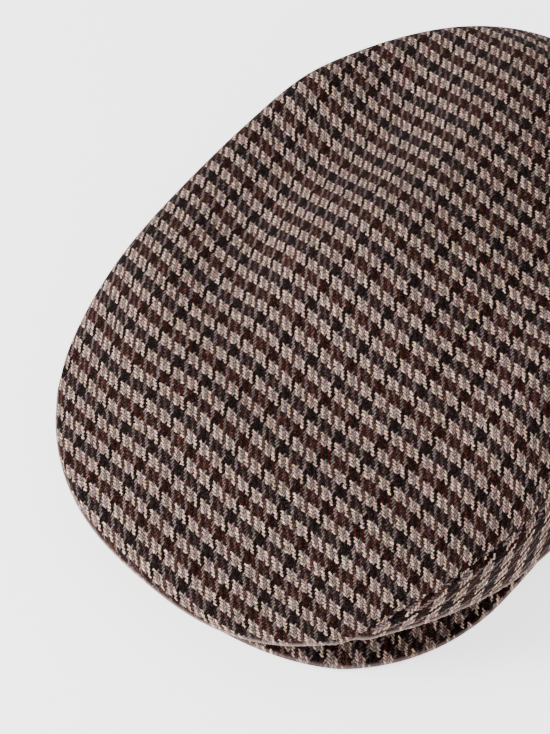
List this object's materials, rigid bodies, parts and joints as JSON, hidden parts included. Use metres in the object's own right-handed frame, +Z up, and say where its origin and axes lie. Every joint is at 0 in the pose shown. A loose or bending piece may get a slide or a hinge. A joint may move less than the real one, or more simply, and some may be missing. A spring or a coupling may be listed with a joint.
{
  "type": "flat cap",
  "caption": "Flat cap in brown and charcoal houndstooth tweed: one-piece top folded over a short stiff peak, two side panels and an open head hollow.",
  "frame": {"origin": "on the surface that the cap stands on, below the middle of its box", "axes": "+Z up; the peak points to -Y and the back to +Y; +X is the wearer's left"},
  "size_m": [0.2083, 0.268, 0.1002],
  "materials": {
    "top_tweed": "matt wool tweed, houndstooth check in stone, reddish brown and charcoal",
    "side_tweed": "the same tweed, turned to run up the side",
    "peak_tweed": "the same tweed, stretched smooth over a stiff peak"
  },
  "bodies": {
    "root": {"top_panel": "top_tweed", "left_side_panel": "side_tweed", "right_side_panel": "side_tweed", "peak": "peak_tweed"}
  },
  "joints": []
}
